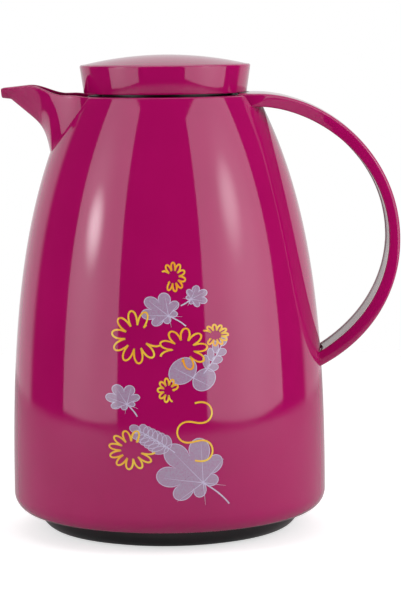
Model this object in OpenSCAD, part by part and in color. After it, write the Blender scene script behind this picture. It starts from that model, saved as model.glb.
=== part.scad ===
// Insulated jug: glossy shell with pouring spout, strap handle, screw stopper and glass liner.
// +Z is up, the origin is on the jug's axis at table height, +X points to the handle.

/* [Shell] */
// Largest diameter of the outer shell
shell_d = 145; // [118:1:176]
// Height of the shell's rim above the table
rim_h = 200.6; // [166:0.1:242]
// Diameter of the shell at its rim
rim_d = 84; // [82:0.5:101]
// Wall thickness of the shell
shell_wall = 2.5; // [1.8:0.1:3.2]
// Height up to which the shell stays straight
belly_h = 25; // [20:1:40]
// Share of the shoulder's inward curve that is a gentle square law
shoulder_share = 0.5; // [0.35:0.01:0.65]
// Rounding radius at the bottom of the shell
bottom_r = 8.8; // [6:0.1:12]
// Thickness of the shell's top ring
rim_t = 3.6; // [3:0.1:5]

/* [Spout] */
// Distance from the jug's axis to the tip of the spout
spout_reach = 75.3; // [70:0.1:90]
// Rise of the spout's edge above the rim
spout_rise = 5; // [3:0.1:8]
// Half width of the spout's tip
tip_half_w = 4.8; // [4:0.1:7]
// Half width of the spout where it leaves the shell
root_half_w = 24.3; // [20:0.1:27]
// Thickness of the spout's lip
lip_t = 4.8; // [3.8:0.1:5.8]
// Wall thickness of the spout
spout_wall = 2; // [1.6:0.1:2.4]

/* [Handle] */
// Reach of the handle beyond the widest part of the shell
handle_reach = 34.9; // [28:0.1:45]
// Height of the handle's lower root
root_h = 75.5; // [60:0.5:90]
// Drop from the rim to the widest point of the handle
handle_drop = 66.6; // [53:0.1:80]
// Rise of the handle's top above the rim
handle_lift = 1; // [0.8:0.05:1.2]
// Width of the handle at its grip
grip_w = 28; // [24:0.5:34]
// Width of the handle at the rim
top_root_w = 43; // [34:0.5:44]
// Width of the handle at its lower root
low_root_w = 26; // [22:0.5:32]
// Thickness of the handle at its grip
grip_t = 5.5; // [4.4:0.1:7]
// Depth of the groove that holds the inlay
inlay_t = 2; // [1.2:0.1:2.4]
// Width of the magenta edge on each side of the inlay
inlay_edge = 2.5; // [2:0.1:4]
// Shank radius of the handle screws
handle_screw_r = 1.25; // [1:0.05:1.4]

/* [Base] */
// Height of the base cup that shows below the shell
base_show = 8.7; // [6:0.1:12]
// Radius of the base cup where it meets the shell
base_r = 60.3; // [50:0.1:62]
// Wall thickness of the base cup
base_wall = 2.5; // [1.8:0.1:3.5]
// Distance from the side of the base cup in to the rubber foot ring
foot_inset = 8.9; // [8:0.1:20]
// Width of the foot ring
foot_w = 4; // [3:0.1:6]

/* [Liner] */
// Thickness of each glass wall
glass_t = 1.6; // [1.2:0.1:2]
// Vacuum gap between the two glass walls
vacuum_gap = 3.3; // [2.5:0.1:5]
// Inner radius of the liner's neck
neck_r = 24; // [20:0.1:29]
// Air gap between the liner and the shell
liner_gap = 2.9; // [1.5:0.1:6]
// Height of the liner's curved shoulder
shoulder_h = 25; // [20:1:32]
// Height of the liner's curved bottom
dome_h = 28; // [22:1:36]

/* [Stopper] */
// Inner radius of the neck collar
collar_r = 30.9; // [25:0.1:32]
// Wall thickness of the neck collar
collar_wall = 2.1; // [1.6:0.1:2.4]
// Gap between the plug and the collar's bore
plug_gap = 1.9; // [1.7:0.1:2.4]
// Thread lead, the rise in one full turn
lead = 8; // [6:0.5:10]
// Height of each thread ridge above its wall
ridge_h = 1.3; // [1:0.1:1.5]
// Radius of the pin that holds the seal disc
pin_r = 3; // [2.5:0.1:4]
// Running clearance of the pin in the seal disc
pin_clear = 0.06; // [0.03:0.01:0.09]

/* [Lid] */
// Radius of the lid at its lower edge
lid_low_r = 37.5; // [36:0.1:40]
// Radius of the lid at its upper edge
lid_top_r = 39.2; // [37:0.1:44]
// Height of the lid's side
lid_h = 12.9; // [11:0.1:18]
// Gap between the shell's rim and the lid
lid_gap = 1.1; // [0.8:0.1:2]
// Wall thickness of the lid
lid_wall = 2.2; // [1.6:0.1:3]
// Width of the narrow ring around the domed cover
dome_inset = 1.6; // [1:0.1:4]
// Rise of the domed cover above the lid's edge
dome_rise = 4.4; // [2:0.1:8]

/* [Hidden] */
$fn = 96;
fit = 0.3;
shell_r = shell_d / 2;
rim_r = rim_d / 2;
bottom_z = base_show + bottom_r;
flange_r = base_r + fit;
foot_r = base_r - foot_inset;

// Levels inside the neck, all measured down from the rim
rim_low_z = rim_h - rim_t;
flange_t = 1.4;
recess_z = rim_h - flange_t - 0.2;
seat_z = rim_h - 26.6;
seat_r = collar_r - 8.9;
seat_t = 3;
gasket_t = 3;
neck_z = seat_z - seat_t - gasket_t;
window_z = rim_h - 13.1;
window_top_z = rim_h - 4.6;
socket_r = collar_r + collar_wall + fit;
collar_flange_r = collar_r + collar_wall + 2.7;

// Liner, set by the room inside the shell
shoulder_z = neck_z - shoulder_h;
liner_r = shell_out(shoulder_z) - shell_wall - liner_gap;
tail_z = base_show + 9.5;
inner_r = liner_r - glass_t - vacuum_gap;

// Plug
plug_r = collar_r - plug_gap;
plug_wall = 3.5;
disc_t = 1.9;
disc_r = collar_r - 4.3;
gasket_seal_t = 0.8;
seal_gap = 0.1;
disc_z = seat_z + seal_gap + gasket_seal_t;
floor_z = disc_z + disc_t + 0.3;
floor_t = 3;
lid_z = rim_h + lid_gap;
lid_top_z = lid_z + lid_h;
web_z = lid_z + 4.8;
web_t = 2.5;
plug_top_t = 3.3;

// Radius of the shell's outer face at height z
function shell_out(z) =
    let (u = max(0, (z - belly_h) / (rim_h - belly_h)))
    shell_r - (shell_r - rim_r) * (shoulder_share * pow(u, 2) + (1 - shoulder_share) * pow(u, 4));

// Points of an arc round (x, y), from angle a to angle b
function arc(x, y, r, a, b, steps) =
    [for (i = [0:steps]) let (t = a + (b - a) * i / steps) [x + r * cos(t), y + r * sin(t)]];

// Points of a quarter ellipse round (x, y)
function oval(x, y, rx, ry, a, b, steps) =
    [for (i = [0:steps]) let (t = a + (b - a) * i / steps) [x + rx * cos(t), y + ry * sin(t)]];

// Points of a cubic curve with end points p, s and control points q, r, without its first point
function curve(p, q, r, s, steps) =
    [for (i = [1:steps]) let (t = i / steps, k = 1 - t)
        pow(k, 3) * p + 3 * k * k * t * q + 3 * k * t * t * r + pow(t, 3) * s];

function smooth(t) = let (c = min(1, max(0, t))) c * c * (3 - 2 * c);

// Solid through a list of rings that all have the same number of points
module loft(rings) {
    n = len(rings[0]);
    m = len(rings);
    points = [for (ring = rings) for (p = ring) p];
    sides = [for (i = [0:m - 2]) for (j = [0:n - 1])
        let (k = (j + 1) % n) [i * n + j, (i + 1) * n + j, (i + 1) * n + k, i * n + k]];
    polyhedron(points, concat(sides, [[for (j = [0:n - 1]) j]],
        [[for (j = [n - 1:-1:0]) (m - 1) * n + j]]), convexity = 6);
}

module cylinder_at(r, z0, z1) {
    translate([0, 0, z0]) cylinder(r = r, h = z1 - z0);
}

module ring(r_in, r_out, z0, z1) {
    translate([0, 0, z0])
        difference() {
            cylinder(r = r_out, h = z1 - z0);
            translate([0, 0, -1]) cylinder(r = r_in, h = z1 - z0 + 2);
        }
}

// Solid of revolution that fills the shell's outline, drawn in by inset
module shell_solid(inset, low_z, high_z) {
    round_r = bottom_r - inset;
    steps = 26;
    rotate_extrude()
        polygon(concat([[0, low_z]],
            arc(shell_r - bottom_r, bottom_z, round_r, -90, 0, 8),
            [for (i = [1:steps])
                let (z = belly_h + (high_z - belly_h) * i / steps) [shell_out(z) - inset, z]],
            [[0, high_z]]));
}

// Spout, where x is the distance from the jug's axis towards the tip. Its edge starts a little
// above the rim and climbs from spout_edge_x over spout_edge_run. Its underside dives below the
// throat
spout_root_x = rim_r - 8;
spout_span = spout_reach - spout_root_x;
spout_root_run = 8;
spout_root_lift = 0.8;
spout_edge_x = rim_r + 4;
spout_edge_run = 16;
spout_edge_fall = 4;
spout_deep_z = rim_h - 35.5;
spout_under_slope = 0.84;
spout_lip_x = spout_reach - 4.3;
spout_throat_x = spout_lip_x - 17.7;
spout_throat_drop = 10;
spout_throat_power = 9;
spout_lip_lift = 0.12;
spout_lip_fall = 1.4;
spout_width_power = 1.15;
channel_slope = 0.24;

function spout_top(x) =
    rim_h + spout_root_lift * smooth((x - spout_root_x) / spout_root_run)
    + (spout_rise - spout_root_lift) * smooth((x - spout_edge_x) / spout_edge_run)
    - max(0, x - spout_edge_x - spout_edge_run - 1) / spout_span * spout_edge_fall;
function spout_under(x) =
    let (s = max(0, (spout_lip_x - x) / (spout_lip_x - spout_throat_x)))
    max(spout_deep_z, rim_h + spout_rise - spout_lip_fall - lip_t
        - spout_under_slope * max(0, spout_lip_x - x) - spout_throat_drop * pow(s, spout_throat_power)
        + spout_lip_lift * max(0, x - spout_lip_x));
function spout_half(x) =
    let (s = min(1, (spout_reach - x) / spout_span))
    tip_half_w + (root_half_w - tip_half_w) * pow(smooth(s), spout_width_power);
function channel_floor(x) =
    max(spout_under(x) + spout_wall + 0.2, window_z + channel_slope * (x - socket_r));

// U-shaped outline at distance x, open upwards, with its corners at height top. Its sides are
// upright near the shell and lean in more and more towards the tip
spout_steps = 20;
root_power = 0.8;
tip_power = 1.5;
lean_x = spout_edge_x;
lean_run = 14;
function u_power(x) = root_power + (tip_power - root_power) * smooth((x - lean_x) / lean_run);
function u_ring(x, half, top, low) =
    [for (i = [0:spout_steps]) let (a = 180 * i / spout_steps, c = cos(a), s = sin(a))
        [-x, sign(c) * half * pow(abs(c), u_power(x)), top - (top - low) * pow(s, u_power(x))]];

function spout_stations() =
    concat([for (x = [spout_root_x:3:spout_lip_x]) x],
        [spout_reach - 2.4, spout_reach - 0.9, spout_reach]);
function nose(x) = x > spout_reach - 0.5 ? 0.6 : x > spout_reach - 1.5 ? 0.9 : 1;

module spout_outside() {
    loft([for (x = spout_stations())
        u_ring(x, spout_half(x) * nose(x), spout_top(x) - (1 - nose(x)) * 2,
            spout_under(x) + (1 - nose(x)) * 1.5)]);
}

// The pouring channel, cut from above and carried through the shell to the collar
module spout_channel() {
    over = 6;
    stations = concat([socket_r - 6], spout_stations(), [spout_reach + 3]);
    loft([for (x = stations)
        let (half = spout_half(x) * (x > spout_reach ? 0.8 : 1) - spout_wall,
             low = channel_floor(min(x, spout_reach)))
        concat([[-x, half, rim_h + spout_rise + over]],
            u_ring(x, half, spout_top(min(x, spout_reach)), low),
            [[-x, -half, rim_h + spout_rise + over]])]);
}

// Floor and cheeks that carry the channel from the shell wall to the collar
module spout_bridge() {
    half = root_half_w + 0.5;
    low_z = channel_floor(socket_r) - spout_wall - 0.5;
    intersection() {
        shell_solid(shell_wall / 2, base_show, rim_h - 1);
        translate([-shell_r, -half, low_z])
            cube([shell_r - socket_r + 14, 2 * half, rim_low_z + 0.5 - low_z]);
    }
}

lug_count = 4;
lug_angle = 16;
lug_r = base_r + 2.2;
lug_low_z = base_show + shell_wall + 0.2;
lug_t = 2;

module lug_sectors(turn, extra) {
    for (i = [0:lug_count - 1])
        rotate([0, 0, turn + i * 360 / lug_count - lug_angle / 2 - extra])
            rotate_extrude(angle = lug_angle + 2 * extra)
                translate([base_r - 1, 0])
                    square([lug_r - base_r + 1 + extra * 0.2, 40]);
}

module outer_shell() {
    color([0.62, 0.06, 0.36])
    difference() {
        union() {
            difference() {
                union() {
                    shell_solid(0, base_show, rim_h);
                    spout_outside();
                }
                shell_solid(shell_wall, base_show + shell_wall, rim_low_z);
            }
            spout_bridge();
        }
        spout_channel();
        translate([0, 0, seat_z]) cylinder(r = socket_r, h = 60);
        translate([0, 0, recess_z]) cylinder(r = collar_flange_r + fit, h = 20);
        translate([0, 0, -1]) cylinder(r = flange_r, h = base_show + shell_wall + 2);
        intersection() {
            lug_sectors(45, 1.5);
            translate([0, 0, -1]) cylinder(r = lug_r + 1, h = base_show + shell_wall + 1.5);
        }
        handle_screw_axes() cylinder(r = handle_screw_r + 0.2, h = 3 + shell_wall);
        tongue(0.15);
    }
}

// Side outline of the handle, from the rim round to the lower root. The pulls are shares of the
// width and height that each part of the curve spans
handle_x = shell_r + handle_reach;
grip_z = rim_h - handle_drop;
low_x = shell_out(root_h) - 0.2;
root_in = 12;
top_w = handle_x - rim_r;
low_w = handle_x - low_x;
low_drop = grip_z - root_h;
top_root_t = 5.4;
low_root_t = 7.1;
outer_pull = [0.498, 0.581, 0.386, 0.672, 0.224];
inner_pull = [0.316, 0.61, 0.158, 0.767, 0.428];

function handle_outer() =
    let (p = [rim_r - 1, rim_h + handle_lift], q = [handle_x, grip_z], r = [low_x, root_h])
    concat([[spout_root_x, p[1]], p],
        curve(p, p + [outer_pull[0] * (top_w + 1), 0], q + [0, outer_pull[1] * handle_drop], q, 16),
        curve(q, q - [0, outer_pull[2] * low_drop],
            r + [outer_pull[3] * low_w, outer_pull[4] * low_drop], r, 14),
        [r - [root_in, 7]]);
function handle_inner() =
    let (p = [rim_r - 4, rim_h - top_root_t], q = [handle_x - grip_t, grip_z],
         r = [low_x - 0.5, root_h + low_root_t])
    concat([p - [root_in, 0], p],
        curve(p, [rim_r + inner_pull[0] * top_w, rim_h - top_root_t + 2.2],
            q + [0, inner_pull[1] * handle_drop], q, 16),
        curve(q, q - [0, inner_pull[2] * low_drop],
            [low_x + inner_pull[3] * low_w, root_h + inner_pull[4] * low_drop], r, 14),
        [r - [root_in - 0.5, 6.2]]);
function reversed(list) = [for (i = [len(list) - 1:-1:0]) list[i]];

// Moves each point of an outline along its own normal by d
function shifted(list, d) =
    [for (i = [0:len(list) - 1])
        let (a = list[max(0, i - 1)], b = list[min(len(list) - 1, i + 1)],
             v = b - a, l = norm(v))
        list[i] + d * [v[1], -v[0]] / l];

module side_plate(outline, width) {
    rotate([90, 0, 0])
        translate([0, 0, -width / 2])
            linear_extrude(width) polygon(outline);
}

// Half width of the handle: wide at the rim, even from flare_run on, narrow at the lower root
flare_run = 34;
flare_power = 1.15;
low_taper_h = 30;
function top_half(x) =
    grip_w / 2 + (top_root_w - grip_w) / 2
        * pow(min(1, max(0, 1 - (x - rim_r) / flare_run)), flare_power);
function low_half(z) =
    grip_w / 2 - (grip_w - low_root_w) / 2 * smooth((root_h + low_taper_h - z) / low_taper_h);

// Outline that mirrors one edge of [half width, distance] points to the other side
function mirrored(edge) = concat(edge, reversed([for (p = edge) [-p[0], p[1]]]));

module handle_blank() {
    steps = 24;
    start_x = rim_r - 16;
    low_z = root_h - 12;
    high_z = root_h + low_taper_h;
    flare = concat([for (i = [0:steps]) let (x = start_x + (rim_r + flare_run - start_x) * i / steps)
        [top_half(x), x]], [[top_half(handle_x + 1), handle_x + 1]]);
    taper = concat([for (i = [0:steps]) let (z = low_z + (high_z - low_z) * i / steps)
        [low_half(z), z]], [[top_root_w, high_z], [top_root_w, rim_h + 9]]);
    intersection() {
        side_plate(concat(handle_outer(), reversed(handle_inner())), 60);
        rotate([0, 0, -90]) linear_extrude(rim_h + 10) polygon(mirrored(flare));
        rotate([90, 0, 90]) linear_extrude(handle_x + 10) polygon(mirrored(taper));
    }
}

// Inlay before its ends are trimmed, flush with the handle's inner face
module inlay_blank() {
    inner = handle_inner();
    side_plate(concat(inner, reversed(shifted(inner, inlay_t))), low_root_w - 2 * inlay_edge);
}

handle_screw_z = root_h + 4.5;
handle_screw_y = 6;
handle_screw_bite = 4.4;
handle_seat_x = shell_out(handle_screw_z) - shell_wall - 0.5;

// Puts its child on both screw axes, starting 1 mm inside the shell's wall
module handle_screw_axes() {
    for (y = [-handle_screw_y, handle_screw_y])
        translate([handle_seat_x - 1, y, handle_screw_z])
            rotate([0, 90, 0]) children();
}

// Hook of the handle that sits in the shell's top ring
module tongue(gap) {
    depth = 4;
    half = 9;
    tongue_t = 1.5;
    low_z = rim_h - (rim_t + tongue_t) / 2 - 0.35;
    translate([rim_r - depth - gap, -half - gap, low_z - gap])
        cube([depth + 2, 2 * (half + gap), tongue_t + 2 * gap]);
}

module inlay_shape() {
    end_gap = 1.2;
    difference() {
        inlay_blank();
        shell_solid(-end_gap, base_show, rim_h + 1);
    }
}

module handle() {
    color([0.62, 0.06, 0.36])
    difference() {
        union() {
            difference() {
                handle_blank();
                shell_solid(0, base_show, rim_h);
                cylinder_at(lid_low_r + 1, rim_h - 1, rim_h + handle_lift + 1);
            }
            tongue(0);
        }
        inlay_shape();
        handle_screw_axes()
            cylinder(r = handle_screw_r + 0.05, h = 1.5 + shell_wall + handle_screw_bite + 0.4);
    }
}

module handle_inlay() {
    color([0.55, 0.5, 0.52]) inlay_shape();
}

module screw(shank_r, head_r, head_h, length) {
    difference() {
        union() {
            cylinder(r = shank_r, h = length);
            translate([0, 0, -head_h]) cylinder(r = head_r, h = head_h);
        }
        translate([0, 0, -head_h - 1]) cylinder(r = head_r / 2, h = 1 + head_h * 0.6, $fn = 6);
    }
}

module handle_screws() {
    color([0.72, 0.72, 0.74])
    handle_screw_axes()
        translate([0, 0, 1])
            screw(handle_screw_r, 2.5, 1.6, 0.5 + shell_wall + handle_screw_bite);
}

cup_in_r = base_r - base_wall;
cup_in_z = base_wall + 3.4;
cup_rim_z = base_show + 5.2;
cup_corner = [4, 3];
foot_rise = 0.6;
foot_groove_z = 2.2;

module base_cup() {
    side_r = base_show - foot_rise;
    foot_in_r = foot_r - foot_w;
    outside = concat(
        [[0, foot_groove_z], [foot_in_r - 3, foot_groove_z], [foot_in_r - 2, foot_rise]],
        arc(base_r - side_r, base_show, side_r, -90, 0, 10),
        [[base_r, cup_rim_z]]);
    inside = [[cup_in_r, cup_rim_z], [cup_in_r, cup_in_z + cup_corner[1]],
        [cup_in_r - cup_corner[0], cup_in_z], [0, cup_in_z]];
    color([0.07, 0.07, 0.075])
    difference() {
        union() {
            rotate_extrude() polygon(concat(outside, inside));
            intersection() {
                lug_sectors(0, 0);
                ring(base_r - 1, lug_r, lug_low_z, lug_low_z + lug_t);
            }
        }
        ring(foot_in_r - 0.1, foot_r + 0.1, -1, foot_groove_z);
    }
}

module foot_ring() {
    round_r = 0.8;
    color([0.1, 0.1, 0.1])
    rotate_extrude()
        polygon(concat([[foot_r - foot_w, foot_groove_z]],
            arc(foot_r - foot_w + round_r, round_r, round_r, 180, 270, 5),
            arc(foot_r - round_r, round_r, round_r, -90, 0, 5),
            [[foot_r, foot_groove_z]]));
}

neck_lip_r = neck_r + 7;

// Half outline of the glass wall whose face lies at radius r, set in by inset from the outermost
function glass_line(r, inset, neck) =
    concat(oval(0, tail_z + dome_h, r, dome_h - inset, -90, 0, 14),
        oval(neck, shoulder_z, r - neck, shoulder_h - 4 - inset, 0, 90, 14));

module glass_wall(r, inset, neck, top_z) {
    rotate_extrude()
        difference() {
            polygon(concat(glass_line(r, inset, neck), [[neck, top_z], [0, top_z]]));
            polygon(concat(glass_line(r - glass_t, inset + glass_t, neck - glass_t),
                [[neck - glass_t, top_z + 1], [0, top_z + 1]]));
        }
}

module glass_outline(r, inset, neck, top_z) {
    rotate_extrude()
        polygon(concat(glass_line(r, inset, neck), [[neck, top_z], [0, top_z]]));
}

tip_r = 3.2;
tip_low_z = tail_z - 5;

module liner_outer() {
    color([0.8, 0.82, 0.85])
    union() {
        glass_wall(liner_r, 0, neck_lip_r, neck_z - 3);
        translate([0, 0, tip_low_z]) cylinder(r = tip_r, h = tail_z - tip_low_z + 0.8);
    }
}

module liner_inner() {
    lip_r = (neck_lip_r - neck_r) / 2;
    color([0.85, 0.87, 0.9])
    union() {
        glass_wall(inner_r, glass_t + vacuum_gap, neck_r + glass_t, neck_z - 2);
        ring(neck_r, neck_lip_r, neck_z - 3, neck_z);
    }
}

module liner_spacers() {
    color([0.9, 0.9, 0.86])
    intersection() {
        ring(inner_r, liner_r - glass_t, base_show, shoulder_z);
        for (a = [60:120:300])
            rotate([0, 0, a])
                translate([0, 0, (tail_z + dome_h + shoulder_z) / 2])
                    rotate([0, 90, 0]) cylinder(r = 7, h = liner_r);
    }
}

module tip_guard() {
    color([0.15, 0.15, 0.16])
    difference() {
        translate([0, 0, tip_low_z - 1.5]) cylinder(r = tip_r + 2, h = 5.5);
        translate([0, 0, tip_low_z]) cylinder(r = tip_r, h = 10);
        glass_outline(liner_r, 0, neck_lip_r, neck_z);
    }
}

cushion_in_r = 16;
cushion_out_r = 36;

module liner_cushion() {
    color([0.12, 0.12, 0.12])
    difference() {
        ring(cushion_in_r, cushion_out_r, cup_in_z, tail_z + 7);
        glass_outline(liner_r, 0, neck_lip_r, neck_z);
    }
}

module neck_gasket() {
    color([0.85, 0.85, 0.82]) ring(neck_r + 1, neck_lip_r + 1.5, neck_z, neck_z + gasket_t);
}

// Helical ridge that starts at height z and angle a, root at radius r_root, tip at radius r_tip
module ridge(r_root, r_tip, z, a, turns) {
    step = 15;
    count = floor(turns * 360 / step);
    root_half = 1.3;
    tip_half = 0.8;
    ramp = 3;
    loft([for (i = [0:count])
        let (t = a + i * step, h = z + lead * i * step / 360,
             rise = min(1, (i + 0.5) / ramp, (count - i + 0.5) / ramp),
             r = r_root + (r_tip - r_root) * rise,
             back = r_root - sign(r_tip - r_root) * 0.4)
        r_tip < r_root
            ? [[back * cos(t), back * sin(t), h - root_half],
               [r * cos(t), r * sin(t), h - tip_half],
               [r * cos(t), r * sin(t), h + tip_half],
               [back * cos(t), back * sin(t), h + root_half]]
            : [[back * cos(t), back * sin(t), h + root_half],
               [r * cos(t), r * sin(t), h + tip_half],
               [r * cos(t), r * sin(t), h - tip_half],
               [back * cos(t), back * sin(t), h - root_half]]]);
}

thread_z = seat_z + 3.4;
thread_turns = 1.25;

module neck_collar() {
    tube_r = collar_r + collar_wall;
    window_half = spout_half(spout_root_x) - spout_wall - 1;
    color([0.1, 0.1, 0.11])
    union() {
        difference() {
            union() {
                ring(collar_r, tube_r, seat_z - 1, rim_h - 0.2);
                ring(collar_r, collar_flange_r, recess_z, rim_h - 0.2);
                ring(seat_r, tube_r, seat_z - seat_t, seat_z);
            }
            translate([-collar_flange_r - 1, -window_half, window_z])
                cube([collar_flange_r, 2 * window_half, window_top_z - window_z]);
        }
        ridge(collar_r, collar_r - ridge_h, thread_z, 0, thread_turns);
    }
}

module seal_disc() {
    color([0.85, 0.85, 0.85]) ring(pin_r + pin_clear, disc_r, disc_z, disc_z + disc_t);
}

module seal_gasket() {
    color([0.92, 0.92, 0.9]) ring(seat_r - 2, disc_r - 0.2, disc_z - gasket_seal_t, disc_z);
}

module disc_pin() {
    head_t = 2;
    color([0.75, 0.75, 0.77])
    union() {
        translate([0, 0, disc_z - 0.3]) cylinder(r = pin_r, h = floor_z + floor_t - disc_z + 0.3);
        translate([0, 0, disc_z - 0.3 - head_t]) cylinder(r = pin_r + 2.6, h = head_t);
    }
}

ring_z = rim_h - 2.1;
cap_screw_r = 1.4;
cap_screw_ring = plug_r - 9;

module stopper_body() {
    top_r = lid_low_r - lid_wall - 2.6;
    flute_count = 3;
    flute_w = 16;
    flute_deep = 1.6;
    color([0.1, 0.1, 0.11])
    difference() {
        union() {
            cylinder_at(plug_r, floor_z, lid_z);
            cylinder_at(top_r, rim_h + 0.5, web_z);
            ridge(plug_r, plug_r + ridge_h, thread_z, -180, thread_turns);
        }
        cylinder_at(plug_r - plug_wall, floor_z - 1, web_z - plug_top_t);
        for (i = [0:flute_count - 1])
            rotate([0, 0, 60 + i * 360 / flute_count])
                translate([plug_r - flute_deep, -flute_w / 2, floor_z - 1])
                    cube([10, flute_w, window_z + 5 - floor_z]);
        difference() {
            cylinder_at(plug_r + 5, ring_z - 0.9, ring_z + 0.9);
            cylinder_at(plug_r - 0.7, ring_z - 2, ring_z + 2);
        }
        cap_screw_axes() cylinder_at(cap_screw_r + 0.05, -plug_top_t - 1, 1);
    }
}

// Puts its child on the three lid screws, with z = 0 at the underside of the lid's web
module cap_screw_axes() {
    for (a = [0:120:240])
        rotate([0, 0, a]) translate([cap_screw_ring, 0, web_z]) children();
}

module stopper_floor() {
    color([0.1, 0.1, 0.11])
    difference() {
        cylinder_at(plug_r - plug_wall, floor_z, floor_z + floor_t);
        cylinder_at(pin_r, floor_z - 1, floor_z + floor_t + 1);
    }
}

module stopper_foam() {
    color([0.95, 0.94, 0.9])
    cylinder_at(plug_r - plug_wall, floor_z + floor_t, web_z - plug_top_t - 3);
}

module stopper_ring() {
    bead = 0.85;
    color([0.85, 0.85, 0.82])
    rotate_extrude()
        translate([plug_r - 0.7 + bead, ring_z]) circle(r = bead, $fn = 32);
}

module cap_shell() {
    round_r = 0.6;
    dome_r = lid_top_r - dome_inset;
    outside = concat([[lid_low_r - lid_wall, lid_z], [lid_low_r, lid_z]],
        arc(lid_top_r - round_r, lid_top_z - round_r, round_r, 0, 90, 5),
        [[dome_r + 0.1, lid_top_z], [dome_r + 0.1, lid_top_z - 2],
         [dome_r - 2.6, lid_top_z - 2], [lid_low_r - lid_wall - 0.2, web_z + web_t],
         [0, web_z + web_t], [0, web_z], [lid_low_r - lid_wall, web_z]]);
    color([0.62, 0.06, 0.36])
    difference() {
        rotate_extrude() polygon(outside);
        cap_screw_axes() cylinder_at(cap_screw_r + 0.2, -1, web_t + 1);
    }
}

module cap_dome() {
    dome_r = lid_top_r - dome_inset;
    dome_t = 1.8;
    sphere_r = (pow(dome_r, 2) + pow(dome_rise, 2)) / (2 * dome_rise);
    sweep = asin(dome_r / sphere_r);
    centre_z = lid_top_z + dome_rise - sphere_r;
    color([0.62, 0.06, 0.36])
    rotate_extrude()
        polygon(concat(arc(0, centre_z, sphere_r, 90, 90 - sweep, 12),
            [[dome_r, lid_top_z - 2], [dome_r - 2.2, lid_top_z - 2]],
            arc(0, centre_z, sphere_r - dome_t, 90 - sweep * 0.93, 90, 12)));
}

module cap_screws() {
    color([0.72, 0.72, 0.74])
    cap_screw_axes()
        translate([0, 0, web_t])
            rotate([180, 0, 0]) screw(cap_screw_r, 2.8, 1.8, web_t + plug_top_t + 1.5);
}

outer_shell();
handle();
handle_inlay();
handle_screws();
base_cup();
foot_ring();
liner_cushion();
tip_guard();
liner_outer();
liner_inner();
liner_spacers();
neck_gasket();
neck_collar();
seal_disc();
seal_gasket();
disc_pin();
stopper_body();
stopper_foam();
stopper_floor();
stopper_ring();
cap_shell();
cap_dome();
cap_screws();
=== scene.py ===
"""Insulated jug with a pouring spout, a strap handle and a screw stopper.

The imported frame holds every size, place and motion. This script builds the
smooth visible shells round it, prints the pattern on the body, dresses each
piece in its finish and lights the jug. Sizes are in millimetres until the
Mesher turns them into metres.
"""

import logging
import math
from collections.abc import Callable, Sequence
from dataclasses import dataclass, field
from enum import Enum

import bmesh
import bpy
from mathutils import Matrix, Vector


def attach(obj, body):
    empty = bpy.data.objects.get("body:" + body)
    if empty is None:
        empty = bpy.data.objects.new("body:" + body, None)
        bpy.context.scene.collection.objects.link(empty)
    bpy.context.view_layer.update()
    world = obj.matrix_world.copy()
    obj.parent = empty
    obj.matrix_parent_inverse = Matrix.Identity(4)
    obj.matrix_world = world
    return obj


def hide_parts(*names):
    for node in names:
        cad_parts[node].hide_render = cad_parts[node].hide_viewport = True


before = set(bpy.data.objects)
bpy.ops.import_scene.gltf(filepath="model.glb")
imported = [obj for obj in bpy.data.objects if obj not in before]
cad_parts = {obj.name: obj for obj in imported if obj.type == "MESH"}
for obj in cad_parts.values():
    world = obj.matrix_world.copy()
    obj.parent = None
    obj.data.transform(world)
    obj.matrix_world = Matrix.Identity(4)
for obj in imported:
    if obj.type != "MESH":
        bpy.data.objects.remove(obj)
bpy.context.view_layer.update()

LOG = logging.getLogger("jug")
MM = 0.001
ON_AXIS = 1e-6  # radius below which a point lies on the jug's axis
MERGE = 0.002 * MM  # distance within which points of a carved mesh are one
CRISP = 32.0  # bend in degrees above which an edge stays sharp
PLASTIC_IOR = 1.49

Point = tuple[float, float]
Colour = tuple[float, float, float]
Ring = list[Vector]
Socket = bpy.types.NodeSocket


class Body(Enum):
    """Rigid bodies of the frame that visible pieces ride on."""

    JUG = "jug"
    STOPPER = "stopper"


class Slot(Enum):
    """Material slots of the record."""

    SHELL = "shell_plastic"
    INLAY = "inlay_plastic"
    BLACK = "black_plastic"
    STOPPER = "stopper_plastic"
    RUBBER = "black_rubber"


# ---------------------------------------------------------------- curves


def smooth_step(t: float) -> float:
    """Returns a soft ramp from 0 to 1 while t goes from 0 to 1."""
    c = min(1.0, max(0.0, t))
    return c * c * (3.0 - 2.0 * c)


def span(low: float, high: float, steps: int) -> list[float]:
    """Returns steps + 1 even values from low to high, both included."""
    return [low + (high - low) * i / steps for i in range(steps + 1)]


def arc(x: float, z: float, radius: float, start: float, end: float, steps: int) -> list[Point]:
    """Returns points along an arc.

    Args:
        x: First coordinate of the centre.
        z: Second coordinate of the centre.
        radius: Radius of the arc.
        start: First angle in degrees.
        end: Last angle in degrees.
        steps: Number of steps from the first angle to the last.

    Returns:
        steps + 1 points, first and last included.
    """
    turns = [math.radians(a) for a in span(start, end, steps)]
    return [(x + radius * math.cos(a), z + radius * math.sin(a)) for a in turns]


def bezier(ends: tuple[Point, Point], pulls: tuple[Point, Point], t: float) -> Vector:
    """Returns the point at t on a cubic curve.

    Args:
        ends: First and last point of the curve.
        pulls: Control points next to the first and the last point.
        t: Place on the curve, from 0 to 1.

    Returns:
        The point as a plane vector.
    """
    k = 1.0 - t
    weights = (k**3, 3 * k * k * t, 3 * k * t * t, t**3)
    points = (ends[0], pulls[0], pulls[1], ends[1])
    return Vector([sum(w * p[axis] for w, p in zip(weights, points)) for axis in (0, 1)])


# ---------------------------------------------------------------- meshes


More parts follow.
